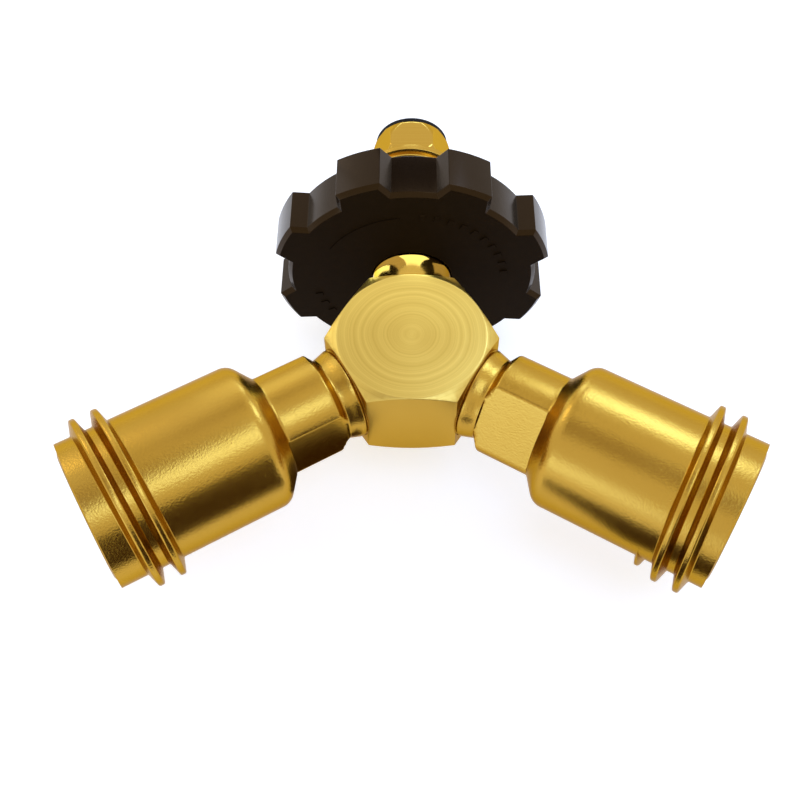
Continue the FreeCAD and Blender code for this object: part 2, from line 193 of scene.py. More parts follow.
def lathe(name, outline, heading, rule=None, segments=240):
    """Piece turned from a closed outline; a rule may change the radius by station and angle."""
    angles = np.linspace(0.0, 2 * math.pi, segments, endpoint=False)
    station, angle = np.meshgrid(outline[:, 0], angles, indexing="ij")
    radius = np.repeat(outline[:, 1:], segments, axis=1)
    if rule:
        radius = rule(station, angle, radius)
    local = np.stack([radius * np.cos(angle), radius * np.sin(angle), station], -1)
    rings = len(outline)
    row = np.arange(rings)[:, None] * segments
    following = (np.arange(rings)[:, None] + 1) % rings * segments
    column = np.arange(segments)[None, :]
    beside = (column + 1) % segments
    faces = np.stack([row + column, row + beside, following + beside, following + column], -1)
    obj = mesh_object(name, lay(local.reshape(-1, 3), heading), faces.reshape(-1, 4).tolist())
    return shade(obj)


def soft_min(a, b, width):
    """Smaller of two lengths, eased over a width where they cross, as a worn edge is."""
    mix = np.clip(0.5 + 0.5 * (b - a) / width, 0.0, 1.0)
    return b * (1 - mix) + a * mix - width * mix * (1 - mix)


def flats(first, last, distance, angles, edge=worn_edge):
    """Rule that mills flats between two stations at the given angles."""
    side_on, out_of_reach = 0.05, 9.0

    def rule(station, angle, radius):
        inside = np.clip((station - first) / edge, 0, 1) * np.clip((last - station) / edge, 0, 1)
        for turn in angles:
            facing = np.cos(angle - math.radians(turn))
            plane = distance / np.clip(facing, side_on, 1.0)
            cut = soft_min(radius, np.where(facing > side_on, plane, radius + out_of_reach), edge)
            radius = np.where(inside > 0, radius + (cut - radius) * inside, radius)
        return radius
    return rule


print("a flat's edge is worn over", worn_edge, "mm")

# %% [markdown]
# ## Copies with broken edges
# Where a CAD piece has the right shape already, a copy of it only needs its edges broken. The
# CAD mesh is loose triangles, so doubles are merged and flat faces joined before the Bevel
# modifier can find the true edges. The modifiers are then settled into a plain mesh.

# %% Copies with broken edges
edge_rows = 2


def settle(obj):
    """Turn what an object's modifiers make into its own plain mesh."""
    view = bpy.context.evaluated_depsgraph_get()
    view.update()
    mesh = bpy.data.meshes.new_from_object(obj.evaluated_get(view), depsgraph=view)
    obj.modifiers.clear()
    obj.data = mesh
    mesh.name = obj.name
    return obj


def finished_copy(node, edge, sharpest=22.0):
    """Copy of a CAD piece with doubles merged, flat faces joined and its edges broken."""
    name = node + "_finished"
    same_place, same_plane = 2e-6, math.radians(0.6)
    mesh = frame["nodes"][node].data.copy()
    bm = bmesh.new()
    bm.from_mesh(mesh)
    bmesh.ops.remove_doubles(bm, verts=bm.verts, dist=same_place)
    bmesh.ops.dissolve_limit(bm, angle_limit=same_plane, verts=bm.verts, edges=bm.edges)
    bm.to_mesh(mesh)
    bm.free()
    mesh.name = name
    rough = bpy.data.objects.new(name, mesh)
    bpy.context.scene.collection.objects.link(rough)
    bevel = rough.modifiers.new("edges", "BEVEL")
    bevel.width = edge * MM
    bevel.segments = edge_rows
    bevel.limit_method = "ANGLE"
    bevel.angle_limit = math.radians(sharpest)
    bevel.harden_normals = True
    rough.data.shade_smooth()
    return settle(rough)


print("rows of faces on a broken edge:", edge_rows)

# %% [markdown]
# ## Tools for materials
# Patterns are drawn in Object coordinates, brought back to millimetres, so a dent of 0.3 mm is
# 0.3 mm on every piece. One function turns a screen colour to linear light, and one small
# function adds a node with its settings and links.

# %% Tools for materials
def linear(code):
    """Linear colour from a six-digit screen colour."""
    channels = [int(code[k:k + 2], 16) / 255 for k in (0, 2, 4)]
    return [c / 12.92 if c <= 0.04045 else ((c + 0.055) / 1.055) ** 2.4 for c in channels] + [1.0]


def add(tree, kind, values=None, **settings):
    """Add a node; a value that is a socket is linked, any other is written in."""
    made = tree.nodes.new(kind)
    for key, setting in settings.items():
        setattr(made, key, setting)
    for key, value in (values or {}).items():
        if isinstance(value, bpy.types.NodeSocket):
            tree.links.new(value, made.inputs[key])
        else:
            made.inputs[key].default_value = value
    return made


def new_material(name, constants):
    """Material with a Principled shader whose constants sit on its own sockets."""
    material = bpy.data.materials.new(name)
    material.use_nodes = True
    tree = material.node_tree
    shader = tree.nodes["Principled BSDF"]
    for key, value in constants.items():
        shader.inputs[key].default_value = value
    place = add(tree, "ShaderNodeTexCoord")
    scaled = add(tree, "ShaderNodeVectorMath", {0: place.outputs["Object"], "Scale": 1 / MM},
                 operation="SCALE")
    return material, tree, shader, scaled.outputs[0]


print("black and white in linear light:", linear("000000")[:3], linear("FFFFFF")[:3])

# %% [markdown]
# ## Patterns
# A noise gives a value from 0 to 1 at every point. It can show on a surface in three ways: spread
# between two colours, spread between two roughnesses, or pushed into the surface as a bump. One
# function does all three, so each finish below is little more than its patterns and its limits.

# %% Patterns
def show_pattern(tree, shader, pattern, colours=None, roughness=None, bump=None):
    """Show a pattern on a finish; the bump is given as its strength and its depth in mm."""
    value = pattern.outputs[0]
    if colours:
        tint = add(tree, "ShaderNodeMix", {
            "Factor": value, "A": colours[0], "B": colours[1]}, data_type="RGBA")
        tree.links.new(tint.outputs["Result"], shader.inputs["Base Color"])
    if roughness:
        spread = add(tree, "ShaderNodeMapRange", {
            "Value": value, "To Min": roughness[0], "To Max": roughness[1]})
        tree.links.new(spread.outputs[0], shader.inputs["Roughness"])
    if bump:
        raised = add(tree, "ShaderNodeBump", {
            "Height": value, "Strength": bump[0], "Distance": bump[1] * MM})
        tree.links.new(raised.outputs[0], shader.inputs["Normal"])


print("a pattern of 2.8 to the millimetre has cells of", round(1 / 2.8, 2), "mm")

# %% [markdown]
# ## Blasted brass
# The outlets are cast or forged brass, cleaned by blasting with fine glass beads. That leaves an
# even grain of tiny dents, so a highlight spreads into a soft band that sparkles at its edges.
# The beads leave dents of about 0.1 mm, too fine for the picture, so the grain is drawn at 0.36
# mm. Brass reflects a warm grey at grazing angles, which the specular tint gives.

# %% Blasted brass
gold_edge = linear("D0BEA4")


def blasted_brass():
    """Cast brass after bead blasting: a fine even grain of dents that scatters the light."""
    grain_per_mm, cloud_per_mm = 2.8, 0.12
    material, tree, shader, place = new_material("blasted_brass", {
        "Metallic": 1.0, "Specular Tint": gold_edge})
    grain = add(tree, "ShaderNodeTexNoise", {
        "Vector": place, "Scale": grain_per_mm, "Detail": 3.0})
    cloud = add(tree, "ShaderNodeTexNoise", {
        "Vector": place, "Scale": cloud_per_mm, "Detail": 1.0})
    show_pattern(tree, shader, cloud, colours=(linear("BB9138"), linear("C1983E")))
    show_pattern(tree, shader, grain, roughness=(0.19, 0.30), bump=(0.65, 0.06))
    return material


blasted = blasted_brass()
print("made", blasted.name)

# %% [markdown]
# ## Turned brass
# The block's two faces are faced on a lathe, and the tool leaves rings about the block's axis,
# of uneven depth and about a millimetre apart. The rings come from the distance to the axis,
# fed to a noise of one dimension, with a slow wander so that they aren't perfect circles. The
# anisotropy follows the rings and draws the light out across them. The rings' colours run
# lighter than the rest of the brass, which is a painted highlight on the faces that look up.

# %% Turned brass
def turned_brass():
    """Lathe-faced brass: uneven rings about the block's axis, painted lighter as a highlight."""
    wander_per_mm, wander_mm, rings_per_mm = 0.16, 0.5, 0.75
    material, tree, shader, place = new_material("turned_brass", {
        "Metallic": 1.0, "Anisotropic": 0.3, "Specular Tint": gold_edge})
    flat = add(tree, "ShaderNodeVectorMath", {0: place, 1: (1.0, 1.0, 0.0)}, operation="MULTIPLY")
    radius = add(tree, "ShaderNodeVectorMath", {0: flat.outputs[0]}, operation="LENGTH")
    wander = add(tree, "ShaderNodeTexNoise", {
        "Vector": place, "Scale": wander_per_mm, "Detail": 1.0})
    uneven = add(tree, "ShaderNodeMath", {
        0: wander.outputs[0], 1: wander_mm, 2: radius.outputs["Value"]}, operation="MULTIPLY_ADD")
    ring = add(tree, "ShaderNodeTexNoise", {
        "W": uneven.outputs[0], "Scale": rings_per_mm, "Detail": 5.0, "Roughness": 0.72},
        noise_dimensions="1D")
    # Painted highlight: the rings run from dark gold to a pale gold, lighter than the other brass,
    # for the faces that look up.
    show_pattern(tree, shader, ring, (linear("BA963F"), linear("EED06E")), bump=(0.5, 0.05))
    shader.inputs["Roughness"].default_value = 0.34
    around = add(tree, "ShaderNodeTangent", direction_type="RADIAL", axis="Z")
    tree.links.new(around.outputs[0], shader.inputs["Tangent"])
    return material


turned = turned_brass()
print("made", turned.name)

# %% [markdown]
# ## Polished, machined and drawn brass
# The collar and the nose are polished on a belt and mirror the room. The nut and the valve
# pieces are left as machined, a little duller. The block's sides are the bar as it was drawn
# through a die, duller still. One pattern of 0.4 mm lines that changes only along Y gives both
# the rings round the pieces on the inlet's axis and the lines that the die leaves up the bar,
# so one function makes all three, each with its own roughness.

# %% Polished, machined and drawn brass
def bright_brass(name, roughness):
    """Smooth brass with faint lines, square to the inlet's axis, from a tool or a die."""
    lines_per_mm = 2.4
    material, tree, shader, place = new_material(name, {
        "Metallic": 1.0, "Specular Tint": gold_edge})
    along = add(tree, "ShaderNodeSeparateXYZ", {"Vector": place}).outputs["Y"]
    lines = add(tree, "ShaderNodeTexNoise", {
        "W": along, "Scale": lines_per_mm, "Detail": 3.0, "Roughness": 0.7},
        noise_dimensions="1D")
    show_pattern(tree, shader, lines, (linear("BE943A"), linear("CAA247")),
                 roughness=(roughness * 0.8, roughness * 1.3), bump=(0.15, 0.02))
    return material


polished = bright_brass("polished_brass", 0.12)
machined = bright_brass("machined_brass", 0.24)
bar = bright_brass("drawn_brass_bar", 0.30)
print("made", polished.name, machined.name, bar.name)

# %% [markdown]
# ## Moulded plastic
# The wheel is black glass-filled nylon from a mould, which looks brown where light falls on it.
# Its rim is glossy from a polished part of the mould and ripples a little where the plastic
# shrank. Its near face comes from an etched part of the mould and stays matt and dark.

# %% Moulded plastic
def black_plastic(name, low, high, specular):
    """Brown-black moulded plastic with the faint ripple of the mould."""
    ripples_per_mm, tooth_per_mm = 0.6, 4.0
    material, tree, shader, place = new_material(name, {
        "Specular IOR Level": specular, "Specular Tint": linear("FFC37C")})
    ripple = add(tree, "ShaderNodeTexNoise", {
        "Vector": place, "Scale": ripples_per_mm, "Detail": 2.0})
    tooth = add(tree, "ShaderNodeTexNoise", {
        "Vector": place, "Scale": tooth_per_mm, "Detail": 3.0})
    show_pattern(tree, shader, ripple, (linear("120B04"), linear("181007")), bump=(0.12, 0.05))
    show_pattern(tree, shader, tooth, roughness=(low, high))
    return material


plastic = black_plastic("black_plastic", 0.16, 0.26, 0.28)
face_plastic = black_plastic("black_plastic_textured", 0.60, 0.75, 0.08)
print("made", plastic.name, face_plastic.name)

# %% [markdown]
# ## Rubber and nylon
# The nose's tip, the O-rings and the valve rings are black nitrile rubber, and the washer is
# natural nylon, a warm white. Both come matt from the mould, with a tooth of about 0.2 mm.

# %% Rubber and nylon
def matt_material(name, low, high, roughness, depth):
    """Moulded rubber or plastic with a fine even tooth."""
    tooth_per_mm = 5.0
    material, tree, shader, place = new_material(name, {"Specular IOR Level": 0.25})
    tooth = add(tree, "ShaderNodeTexNoise", {
        "Vector": place, "Scale": tooth_per_mm, "Detail": 3.0})
    show_pattern(tree, shader, tooth, (low, high),
                 roughness=(roughness * 0.85, roughness * 1.1), bump=(0.4, depth))
    return material


rubber = matt_material("black_rubber", linear("0C0907"), linear("14100C"), 0.45, 0.02)
nylon = matt_material("nylon", linear("D5D2C8"), linear("DEDBD2"), 0.45, 0.01)
print("made", rubber.name, nylon.name)

# %% [markdown]
# ## Spring wire
# The springs are stainless wire, drawn bright through a die. It is a neutral grey metal with
# scratches too fine to see one by one, so only its roughness varies.

# %% Spring wire
def drawn_steel():
    """Stainless spring wire, drawn bright through a die."""
    scratches_per_mm = 7.0
    material, tree, shader, place = new_material("drawn_steel", {"Metallic": 1.0})
    scratches = add(tree, "ShaderNodeTexNoise", {
        "Vector": place, "Scale": scratches_per_mm, "Detail": 2.0})
    show_pattern(tree, shader, scratches, (linear("BCBCBD"), linear("CBCBCC")),
                 roughness=(0.18, 0.32))
    return material


steel = drawn_steel()
print("materials:", [m.name for m in bpy.data.materials])

# %% [markdown]
# ## A tree that winds
# Threads and springs all follow a helix, so one Geometry Nodes tree winds any section about an
# axis. The section is drawn with x inwards and y down the axis; it shrinks to nothing over the
# run-out at both ends, as a thread does where the cutter leaves the metal.

# %% The winding tree
def winding_tree():
    """Geometry Nodes tree that sweeps a section along a helix."""
    tree = bpy.data.node_groups.new("winding", "GeometryNodeTree")
    tree.is_modifier = True
    sockets = (("Section", "Object", None), ("Turns", "Float", 2.0), ("Rise", "Float", 0.01),
               ("Radius", "Float", 0.01), ("Run-out", "Float", 0.0), ("Steps", "Int", 96),
               ("Material", "Material", None))
    for name, kind, default in sockets:
        socket = tree.interface.new_socket(
            name=name, in_out="INPUT", socket_type="NodeSocket" + kind)
        if default is not None:
            socket.default_value = default
    tree.interface.new_socket(name="Mesh", in_out="OUTPUT", socket_type="NodeSocketGeometry")
    given = add(tree, "NodeGroupInput").outputs
    path = add(tree, "GeometryNodeCurveSpiral", {
        "Resolution": given["Steps"], "Rotations": given["Turns"], "Start Radius": given["Radius"],
        "End Radius": given["Radius"], "Height": given["Rise"]})
    outward = add(tree, "GeometryNodeSetCurveNormal", {"Curve": path.outputs[0]}, mode="Z_UP")
    share = add(tree, "GeometryNodeSplineParameter").outputs["Factor"]
    other = add(tree, "ShaderNodeMath", {0: 1.0, 1: share}, operation="SUBTRACT").outputs[0]
    nearest = add(tree, "ShaderNodeMath", {0: share, 1: other}, operation="MINIMUM").outputs[0]
    turned_so_far = add(tree, "ShaderNodeMath", {
        0: nearest, 1: given["Turns"]}, operation="MULTIPLY")
    full = add(tree, "ShaderNodeMapRange", {
        "Value": turned_so_far.outputs[0], "From Min": 0.0, "From Max": given["Run-out"],
        "To Min": 0.02, "To Max": 1.0}, interpolation_type="SMOOTHSTEP")
    tapering = add(tree, "ShaderNodeMath", {0: given["Run-out"], 1: 0.0}, operation="GREATER_THAN")
    size = add(tree, "ShaderNodeMix", {
        "Factor": tapering.outputs[0], "A": 1.0, "B": full.outputs[0]}, data_type="FLOAT")
    section = add(tree, "GeometryNodeObjectInfo", {"Object": given["Section"]}).outputs["Geometry"]
    swept = add(tree, "GeometryNodeCurveToMesh", {
        "Curve": outward.outputs[0], "Profile Curve": section,
        "Scale": size.outputs[0], "Fill Caps": True})
    real = add(tree, "GeometryNodeRealizeInstances", {"Geometry": swept.outputs[0]})
    coated = add(tree, "GeometryNodeSetMaterial", {
        "Geometry": real.outputs[0], "Material": given["Material"]})
    add(tree, "NodeGroupOutput", {"Mesh": coated.outputs[0]})
    return tree


winder = winding_tree()
winder_inputs = {s.name: s.identifier for s in winder.interface.items_tree if s.in_out == "INPUT"}
print("winding tree inputs:", sorted(winder_inputs))

# %% [markdown]
# ## Winding a piece
# The tree works about Z from the origin. What it makes is turned into a plain mesh, turned to
# its first angle, moved to its start and laid along its port. The Spiral node turns left-handed
# as it rises, so a right-hand thread is its mirror image; its normals are recalculated after.

# %% Winding a piece
def section_curve(name, outline):
    """Closed section as a flat curve, x inwards and y against the rise."""
    curve = bpy.data.curves.new(name, "CURVE")
    curve.dimensions = "2D"
    curve.fill_mode = "NONE"
    spline = curve.splines.new("POLY")
    spline.points.add(len(outline) - 1)
    for point, (along, out) in zip(spline.points, outline):
        point.co = (-out * MM, -along * MM, 0.0, 1.0)
    spline.use_cyclic_u = True
    obj = bpy.data.objects.new(name, curve)
    bpy.context.scene.collection.objects.link(obj)
    return obj


def wind(name, outline, turns, pitch, radius, start, first_angle, heading, material,
         run_out=0.0, steps=96, left_hand=False):
    """Piece wound from a station at an angle; lengths in mm, the run-out in turns."""
    section = section_curve(name + "_section", outline)
    obj = bpy.data.objects.new(name, bpy.data.meshes.new(name))
    bpy.context.scene.collection.objects.link(obj)
    modifier = obj.modifiers.new("winding", "NODES")
    modifier.node_group = winder
    chosen = {"Section": section, "Turns": turns, "Rise": pitch * turns * MM, "Radius": radius * MM,
              "Run-out": run_out, "Steps": steps, "Material": material}
    for key, value in chosen.items():
        modifier[winder_inputs[key]] = value
    settle(obj)
    bpy.data.objects.remove(section)
    local = np.array([v.co for v in obj.data.vertices]) / MM
    if not left_hand:
        local[:, 1] *= -1
    c, s = math.cos(math.radians(first_angle)), math.sin(math.radians(first_angle))
    x, y = local[:, 0] * c - local[:, 1] * s, local[:, 0] * s + local[:, 1] * c
    laid = lay(np.stack([x, y, local[:, 2] + start], -1), heading)
    faces = [list(p.vertices) for p in obj.data.polygons]
    bpy.data.objects.remove(obj)
    return shade(mesh_object(name, laid, faces))


print("a fine thread rises", round(fine_pitch, 3), "mm a turn")

# %% [markdown]
# ## Finishing a piece
# Each piece gets its material, the body that it rides on and the CAD piece that it stands for.
# A spring is left in place on no body. Several meshes that are one piece of metal are joined
# into one object.

# %% Finishing a piece
bodies = frame["record"]["behaviour"]["bodies"]
body_of = {node: body for body, nodes in bodies.items() for node in nodes}


def joined(name, parts):
    """One object from several meshes of the same piece."""
    bm = bmesh.new()
    for part in parts:
        bm.from_mesh(part.data)
    mesh = bpy.data.meshes.new(name)
    bm.to_mesh(mesh)
    bm.free()
    for part in parts:
        bpy.data.objects.remove(part)
    obj = bpy.data.objects.new(name, mesh)
    bpy.context.scene.collection.objects.link(obj)
    return shade(obj)


def finish_piece(obj, node, material, stretch=None):
    """Give a piece its finish and let it stand for its CAD piece.

    A piece with a stretch is left in place on no body; what the stretch names is not used.
    """
    obj.data.materials.clear()
    obj.data.materials.append(material)
    for polygon in obj.data.polygons:
        polygon.material_index = 0
    if stretch:
        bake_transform(obj)
    else:
        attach(obj, body_of[node])
    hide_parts(node)
    print(node, "has", len(obj.data.polygons), "faces")
    return obj


print("bodies:", sorted(set(body_of.values())))

# %% [markdown]
# ## The outlets
# Each outlet is turned in one piece from the block outwards: a tail in the block, a small foot
# on the block's flat, a stub, a neck, a rounded shoulder and a wide body. It is bored from the
# mouth: the threaded bore, a relief groove at its end, the ledge for the valve's seat, and the
# valve's chamber with a coned floor down to the gas way.

# %% Sizes of an outlet
foot_radius, foot_height = 8.9, 0.3
stub_radius, stub_end = 8.1, flat_station + 3.6
neck_radius, neck_flat, neck_start, neck_end = 9.95, 7.5, stub_end + 1.4, stub_end + 11.9
body_radius, body_start, shoulder_round = 14.1, neck_end + 3.2, 3.0
mouth, mouth_chamfer = neck_end + 36.8, 0.7
bore_radius, bore_floor = 11.24, mouth - 14.75
relief_radius, seat_ledge = 11.6, bore_floor - 2.1
chamber_radius, chamber_floor, chamber_floor_radius = 8.5, seat_ledge - 15.0, 7.6
chamber_floor_cone = 2.6
print("mouth of an outlet stands", round(mouth, 2), "mm from the block's centre")

# %% [markdown]
# Two flats for a wrench are milled on the neck. The outlet is screwed tight and stops at any
# angle, so the two outlets show their flats at different angles.

# %% Shell of an outlet
flat_angle = {"left": 88.0, "right": 57.5}


def outlet_shell(side, heading):
    """Turned and bored shell of an outlet, with the two wrench flats on its neck."""
    outline = rounded([
        (tail_station, gas_way_radius, 0.2), (tail_station, port_radius, 0.3),
        (flat_station, port_radius, 0.05), (flat_station, foot_radius, 0.05),
        (flat_station + foot_height, foot_radius, 0.1),
        (flat_station + foot_height, stub_radius, 0.8), (stub_end, stub_radius, 0.8),
        (neck_start, neck_radius, 0.6),
        (neck_end, neck_radius, 0.9), (body_start, body_radius, shoulder_round),
        (mouth, body_radius, 0.35), (mouth, bore_radius + mouth_chamfer, 0.12),
        (mouth - mouth_chamfer, bore_radius, 0.2), (bore_floor, bore_radius, 0.0),
        (bore_floor, relief_radius, 0.0), (seat_ledge, relief_radius, 0.0),
        (seat_ledge, chamber_radius, 0.15), (chamber_floor, chamber_radius, 0.0),
        (chamber_floor, chamber_floor_radius, 0.0),
        (chamber_floor - chamber_floor_cone, gas_way_radius, 0.3)], longest=0.9)
    facing = flat_angle[side]
    rule = flats(stub_end, neck_end + 0.1, neck_flat, (facing, facing + 180))
    return lathe("outlet_" + side + "_shell", outline, heading, rule)


print("flats face", flat_angle)

# %% [markdown]
# The coarse outside thread is one tall narrow ridge with a rounded crest, wound about two turns
# in front of the shoulder. Its foot flares into the body and ends below the surface, so the two
# meshes overlap and no gap can show.

# %% The coarse thread
ridge_crest, ridge_root, ridge_pitch = 16.85, 14.05, 4.15
ridge_crest_width, ridge_flank = 1.0, 17.0
ridge_start = {"left": (54.86, -8.0), "right": (53.85, -89.0)}
ridge_turns = {"left": 1.88, "right": 2.25}


def coarse_thread(side, heading):
    """Ridge of the outside thread, from its station and angle in the picture."""
    depth = ridge_crest - ridge_root
    half = ridge_crest_width / 2
    foot = half + depth * math.tan(math.radians(ridge_flank))
    flare, below, crest_round = 0.8, -0.7, 0.4
    section = rounded([
        (-foot - flare, below, 0), (-foot - flare, -0.1, 0), (-foot, 0.0, flare),
        (-half, depth, crest_round), (half, depth, crest_round),
        (foot, 0.0, flare), (foot + flare, -0.1, 0), (foot + flare, below, 0)])
    start, first_angle = ridge_start[side]
    return wind("outlet_" + side + "_ridge", section, ridge_turns[side], ridge_pitch, ridge_root,
                start, first_angle, heading, blasted, run_out=0.16, steps=120)


print("the ridge stands", round(ridge_crest - body_radius, 2), "mm proud of the body")

# %% [markdown]
# The fine thread in the mouth is left-hand, as on all such gas fittings. Its groove is wound as
# a solid strip half sunk in the bore's wall, which shows the flanks without a boolean cut.

# %% The thread in the mouth
def mouth_thread(side, heading):
    """Fine left-hand thread inside an outlet's mouth."""
    turns, run_in, opening, groove_depth, crest_round = 6.8, 1.2, 0.65, 0.85, 0.1
    groove = rounded([
        (-opening - 0.1, 0.25, 0), (-opening, 0.0, 0), (-0.15, -groove_depth, crest_round),
        (0.15, -groove_depth, crest_round), (opening, 0.0, 0), (opening + 0.1, 0.25, 0)])
    return wind("outlet_" + side + "_mouth_thread", groove, turns, fine_pitch, bore_radius,
                bore_floor + run_in, 0.0, heading, blasted, run_out=0.3, steps=64, left_hand=True)


for side, heading in sides:
    parts = [outlet_shell(side, heading), coarse_thread(side, heading), mouth_thread(side, heading)]
    outlet = joined("outlet_" + side + "_finished", parts)
    finish_piece(outlet, "outlet_" + side, blasted)

# %% [markdown]
# ## The block
# A length of hexagonal bar, faced on a lathe at both ends, which leaves rings on the faces and a
# shallow cone over the corners. Its sides keep the bar's own drawn surface, so the faces that
# look sideways get a second material.

# %% The block
block = finish_piece(finished_copy("hex_block", 0.16), "hex_block", turned)
block.data.materials.append(bar)
# Faces that look up or down keep the turned brass, whose lighter colours paint in a highlight.
for polygon in block.data.polygons:
    if abs(polygon.normal.z) < 0.3:
        polygon.material_index = 1
print("faces of the bar left as drawn:", sum(p.material_index for p in block.data.polygons))

# %% [markdown]
# ## The inlet
# The tailpiece carries a nut that slides and turns on its shank. The nose closes the shank's
# end: six flats that run out on a curved taper, and a rubber tip held by a rolled lip. These
# sizes place each piece behind the one before it.

# %% Sizes of the inlet
collar_radius, collar_waist, collar_end, shank_radius = 7.85, 7.0, flat_station + 8.0, 5.5
nut_back = collar_end + 3.2
nut_head_end = nut_back + 5.05
nut_front = nut_head_end + 17.6
nut_flats, nut_radius, nut_bore, fine_depth = 22.225, 11.18, 5.58, 0.95
wheel_near = nut_back - 5.2
nose_back = nut_front + 0.7
shank_end, nose_rim = nose_back + 3.6, nose_back + 8.35
seal_end, lip_length = nose_rim + 2.2, 0.8
nose_flats, nose_corner_radius, nose_straight, nose_rim_radius = 15.5, 8.95, 1.6, 8.0
flow_chamber_radius, nose_gas_radius, spigot_radius, lip_radius = 4.6, 2.2, 4.0, 4.6
seal_radius, seal_straight, seal_tip_radius = 7.8, 1.0, 5.0
print("the nose ends", round(seal_end + lip_length, 2), "mm from the block's centre")

# %% [markdown]
# The tailpiece's collar is slightly waisted, which a power curve gives, and its polish mirrors
# the wheel on one side and the block on the other. The shank runs through the nut and ends in a
# rim that the excess-flow valve closes on.

# %% The tailpiece
def tailpiece():
    """Turned tail, polished collar with a slight waist and the shank through the nut."""
    steps, rim_radius, rim_depth, bore = 8, 3.5, 2.0, 2.6
    flare = wheel_near - 0.4 - flat_station
    waist = [(flat_station + flare * k / steps,
              collar_waist + (collar_radius - collar_waist) * (k / steps) ** 1.3, 0.0)
             for k in range(steps + 1)]
    outline = rounded([
        (tail_station, gas_way_radius, 0.2), (tail_station, port_radius, 0.3),
        (flat_station, port_radius, 0.05)] + waist + [
        (collar_end, collar_radius, 0.45), (collar_end, shank_radius, 0.1),
        (shank_end, shank_radius, 0.2), (shank_end, rim_radius, 0.1),
        (shank_end - rim_depth, rim_radius, 0.1), (shank_end - rim_depth, bore, 0.1),
        (tail_station + gas_way_radius, bore, 0.4)], longest=4.0)
    return lathe("tailpiece_finished", outline, inlet_heading, segments=192)


finish_piece(tailpiece(), "tailpiece", polished)

# %% [markdown]
# The nut's hexagon is held inside the wheel and its barrel carries the inlet's left-hand thread.
# The barrel is turned at the thread's root, and one tooth is wound round it.

# %% The nut
def pol_nut():
    """Nut whose hexagon sits in the wheel, with the inlet's left-hand thread on its barrel."""
    core = nut_radius - fine_depth
    corner = nut_flats / 2 / math.cos(math.radians(30)) - 0.1
    outline = rounded([
        (nut_back, nut_bore, 0.2), (nut_back, corner, 0.5), (nut_head_end, corner, 0.2),
        (nut_head_end, nut_radius - 0.05, 0.1), (nut_head_end + 1.0, nut_radius - 0.05, 0.2),
        (nut_head_end + 1.9, core, 0.2), (nut_front - 0.2, core, 0.4), (nut_front, core - 0.6, 0.2),
        (nut_front, nut_bore, 0.2)], longest=0.6)
    hexagon = flats(nut_back - 1.0, nut_head_end + 0.01, nut_flats / 2, range(0, 360, 60),
                    edge=0.15)
    shell = lathe("nut_shell", outline, inlet_heading, hexagon)
    half_foot, half_crest, sunk, crest_round = 0.80, 0.16, -0.2, 0.1
    tooth = rounded([
        (-half_foot - 0.06, sunk, 0), (-half_foot, 0.0, 0), (-half_crest, fine_depth, crest_round),
        (half_crest, fine_depth, crest_round), (half_foot, 0.0, 0), (half_foot + 0.06, sunk, 0)])
    turns = (nut_front - nut_head_end - 2.6) / fine_pitch
    thread = wind("nut_thread", tooth, turns, fine_pitch, core, nut_head_end + 1.6, 0.0,
                  inlet_heading, machined, run_out=0.35, steps=96, left_hand=True)
    return joined("pol_nut_finished", [shell, thread])


finish_piece(pol_nut(), "pol_nut", machined)

# %% [markdown]
# The nose is a turned bullet with six flats milled on it. The taper bulges slightly, so each
# flat runs out in a curved end towards the tip, which is what shows above the wheel.

# %% The nose
def nose_fitting():
    """Nose with six wrench flats, its curved taper and the lipped spigot for the rubber."""
    steps, bulge, ledge = 10, 0.32, 1.0
    start, end = nose_back + nose_straight, nose_rim - 0.3
    corners = [(nose_back, shank_radius, 0.15), (nose_back, nose_corner_radius, 0.35)]
    for k in range(steps + 1):
        radius = nose_corner_radius + (nose_rim_radius - nose_corner_radius) * k / steps
        corners.append((start + (end - start) * k / steps,
                        radius + bulge * math.sin(math.pi * k / steps), 0.0))
    corners += [
        (nose_rim, nose_rim_radius - 0.3, 0.05), (nose_rim, spigot_radius, 0.0),
        (seal_end, spigot_radius, 0.0), (seal_end, lip_radius, 0.15),
        (seal_end + lip_length, lip_radius, 0.4), (seal_end + lip_length, nose_gas_radius, 0.2),
        (nose_rim - ledge, nose_gas_radius, 0.1), (nose_rim - ledge, flow_chamber_radius, 0.2),
        (shank_end, flow_chamber_radius, 0.0), (shank_end, shank_radius, 0.0)]
    hexagon = flats(nose_back - 1.0, nose_rim + 1.0, nose_flats / 2, range(0, 360, 60), edge=0.10)
    return lathe("nose_fitting_finished", rounded(corners, 0.6), inlet_heading, hexagon, 384)


finish_piece(nose_fitting(), "nose_fitting", polished)

# %% [markdown]
# The rubber tip seals against the cylinder valve. It is moulded, stretched over the spigot's lip
# and stays there by its own grip.

# %% The rubber tip
def nose_seal():
    """Rubber nose with a soft shoulder, stretched over the spigot."""
    outline = rounded([
        (nose_rim, spigot_radius, 0.0), (nose_rim, seal_radius, 0.25),
        (nose_rim + seal_straight, seal_radius, 0.4), (seal_end, seal_tip_radius, 0.3),
        (seal_end, spigot_radius, 0.0)], longest=0.8)
    return lathe("nose_seal_finished", outline, inlet_heading, segments=192)


finish_piece(nose_seal(), "nose_seal", rubber)

# %% [markdown]
# ## The handwheel
# The wheel is moulded with lobes to grip, and its near face has raised marks that stand 0.2 mm
# proud, a plain arc and plain ticks. Each is a short bar bent round the axis, with sloped sides
# so that a mould could let it go, and a foot sunk in the face.

